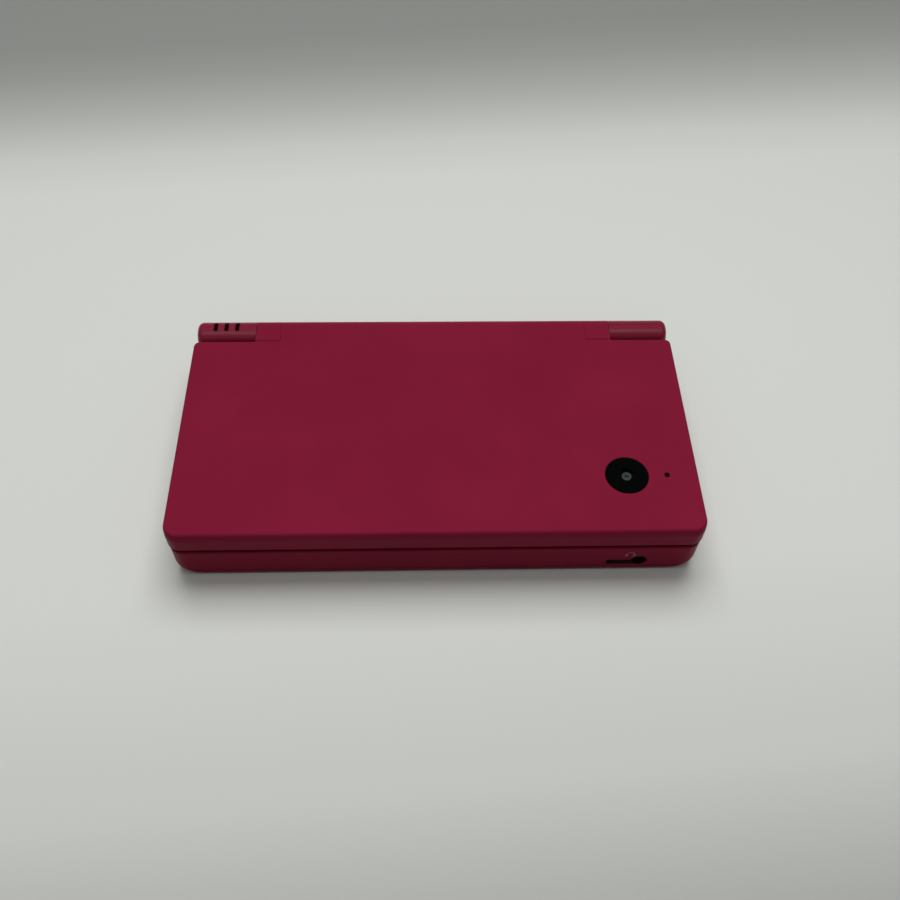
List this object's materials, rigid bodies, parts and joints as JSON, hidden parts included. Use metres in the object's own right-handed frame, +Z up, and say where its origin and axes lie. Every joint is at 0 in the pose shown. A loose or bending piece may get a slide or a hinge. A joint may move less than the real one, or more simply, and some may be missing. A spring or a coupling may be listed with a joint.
{
  "type": "clamshell handheld game console",
  "caption": "Slim folding handheld game console with a hinged lid, camera window, two displays, d-pad, face keys, shoulder keys, stylus and card slots; it lies closed.",
  "frame": {"origin": "middle of the underside, on the plane of the rubber feet, lid closed", "axes": "+X to the right seen from the front, +Y towards the hinge, +Z up"},
  "size_m": [0.137, 0.075, 0.0189],
  "materials": {
    "lid_casing": "fine matte raspberry pink",
    "base_casing": "fine matte raspberry pink",
    "inner_casing": "satin raspberry pink",
    "key_plastic": "satin raspberry pink",
    "black_window": "polished black",
    "display": "dark unlit display",
    "camera_glass": "polished black",
    "dark_module": "moulded black",
    "circuit_board": "green solder mask",
    "metal": "plain steel",
    "battery_wrap": "dark grey wrap",
    "soft_rubber": "matte rubber",
    "light_pipe": "smoky clear light guide",
    "flex": "amber film"
  },
  "bodies": {
    "base": {"base_housing": "base_casing", "base_bottom_cover": "base_casing", "touch_screen": "black_window", "lower_display_panel": "display", "main_board": "circuit_board", "game_card_connector": "dark_module", "memory_card_connector": "metal", "battery_pack": "battery_wrap", "battery_cover": "base_casing", "battery_screw_left": "metal", "battery_screw_right": "metal", "case_screw_front_left": "metal", "case_screw_front_right": "metal", "case_screw_rear_left": "metal", "case_screw_rear_right": "metal", "foot_front_left": "soft_rubber", "foot_front_right": "soft_rubber", "foot_rear_left": "soft_rubber", "foot_rear_right": "soft_rubber", "face_button_pad": "soft_rubber", "headphone_jack": "dark_module", "charger_inlet": "metal", "status_light_guide": "light_pipe", "hinge_bush": "metal", "base_display_cable": "flex", "shoulder_pin_left": "metal", "shoulder_pin_right": "metal", "shoulder_spring_left": "metal", "shoulder_spring_right": "metal"},
    "lid": {"lid_outer_shell": "lid_casing", "lid_inner_bezel": "inner_casing", "upper_display_window": "black_window", "upper_display_panel": "display", "left_speaker": "dark_module", "right_speaker": "dark_module", "outer_camera_cover": "camera_glass", "outer_camera_module": "dark_module", "camera_light": "camera_glass", "inner_camera": "camera_glass", "microphone": "dark_module", "lid_bumper_left": "soft_rubber", "lid_bumper_right": "soft_rubber", "hinge_cap_left": "lid_casing", "hinge_cap_right": "lid_casing", "hinge_clutch": "metal", "lid_display_cable": "flex"},
    "button_right": {"button_right": "key_plastic"},
    "button_lower": {"button_lower": "key_plastic"},
    "button_upper": {"button_upper": "key_plastic"},
    "button_left": {"button_left": "key_plastic"},
    "start_button": {"start_button": "key_plastic"},
    "select_button": {"select_button": "key_plastic"},
    "power_button": {"power_button": "key_plastic"},
    "dpad": {"dpad": "key_plastic"},
    "dpad_dome": {"dpad_dome": "soft_rubber"},
    "volume_rocker": {"volume_rocker": "base_casing"},
    "shoulder_button_left": {"shoulder_button_left": "base_casing"},
    "shoulder_button_right": {"shoulder_button_right": "base_casing"},
    "memory_card_cover": {"memory_card_cover": "base_casing"},
    "stylus": {"stylus": "base_casing"}
  },
  "joints": [
    {"name": "lid_hinge", "type": "hinge", "parent": "base", "child": "lid", "pos_m": [0, 0.03335, 0.0148], "axis": [-1, 0, 0], "range_deg": [0, 155]},
    {"name": "button_right_press", "type": "slide", "parent": "base", "child": "button_right", "axis": [0, 0, -1], "range_m": [0, 0.0006], "stiffness_N_per_m": 500, "springref_m": -0.0004},
    {"name": "button_lower_press", "type": "slide", "parent": "base", "child": "button_lower", "axis": [0, 0, -1], "range_m": [0, 0.0006], "stiffness_N_per_m": 500, "springref_m": -0.0004},
    {"name": "button_upper_press", "type": "slide", "parent": "base", "child": "button_upper", "axis": [0, 0, -1], "range_m": [0, 0.0006], "stiffness_N_per_m": 500, "springref_m": -0.0004},
    {"name": "button_left_press", "type": "slide", "parent": "base", "child": "button_left", "axis": [0, 0, -1], "range_m": [0, 0.0006], "stiffness_N_per_m": 500, "springref_m": -0.0004},
    {"name": "start_button_press", "type": "slide", "parent": "base", "child": "start_button", "axis": [0, 0, -1], "range_m": [0, 0.0006], "stiffness_N_per_m": 500, "springref_m": -0.0004},
    {"name": "select_button_press", "type": "slide", "parent": "base", "child": "select_button", "axis": [0, 0, -1], "range_m": [0, 0.0006], "stiffness_N_per_m": 500, "springref_m": -0.0004},
    {"name": "power_button_press", "type": "slide", "parent": "base", "child": "power_button", "axis": [0, 0, -1], "range_m": [0, 0.0006], "stiffness_N_per_m": 500, "springref_m": -0.0004},
    {"name": "dpad_rock_up_down", "type": "hinge", "parent": "base", "child": "dpad_dome", "pos_m": [-0.0525, 0.006, 0.0086], "axis": [1, 0, 0], "range_deg": [-2.5, 2.5], "stiffness_Nm_per_rad": 0.1},
    {"name": "dpad_rock_left_right", "type": "hinge", "parent": "dpad_dome", "child": "dpad", "pos_m": [-0.0525, 0.006, 0.0086], "axis": [0, 1, 0], "range_deg": [-2.5, 2.5], "stiffness_Nm_per_rad": 0.1},
    {"name": "volume_rocker_tip", "type": "hinge", "parent": "base", "child": "volume_rocker", "pos_m": [-0.0662, -0.002, 0.0072], "axis": [0, 0, 1], "range_deg": [-2.5, 2.5], "stiffness_Nm_per_rad": 0.05},
    {"name": "shoulder_left_press", "type": "hinge", "parent": "base", "child": "shoulder_button_left", "pos_m": [-0.0572, 0.0343, 0.007], "axis": [0, 0, 1], "range_deg": [0, 3.5], "stiffness_Nm_per_rad": 0.15, "springref_deg": -3.44},
    {"name": "shoulder_right_press", "type": "hinge", "parent": "base", "child": "shoulder_button_right", "pos_m": [0.0572, 0.0343, 0.007], "axis": [0, 0, -1], "range_deg": [0, 3.5], "stiffness_Nm_per_rad": 0.15, "springref_deg": -3.44},
    {"name": "memory_cover_swing", "type": "hinge", "parent": "base", "child": "memory_card_cover", "pos_m": [0.0679, 0.01565, 0.005], "axis": [0, 0, 1], "range_deg": [0, 100]},
    {"name": "stylus_slide", "type": "slide", "parent": "base", "child": "stylus", "axis": [1, 0, 0], "range_m": [0, 0.093]}
  ]
}
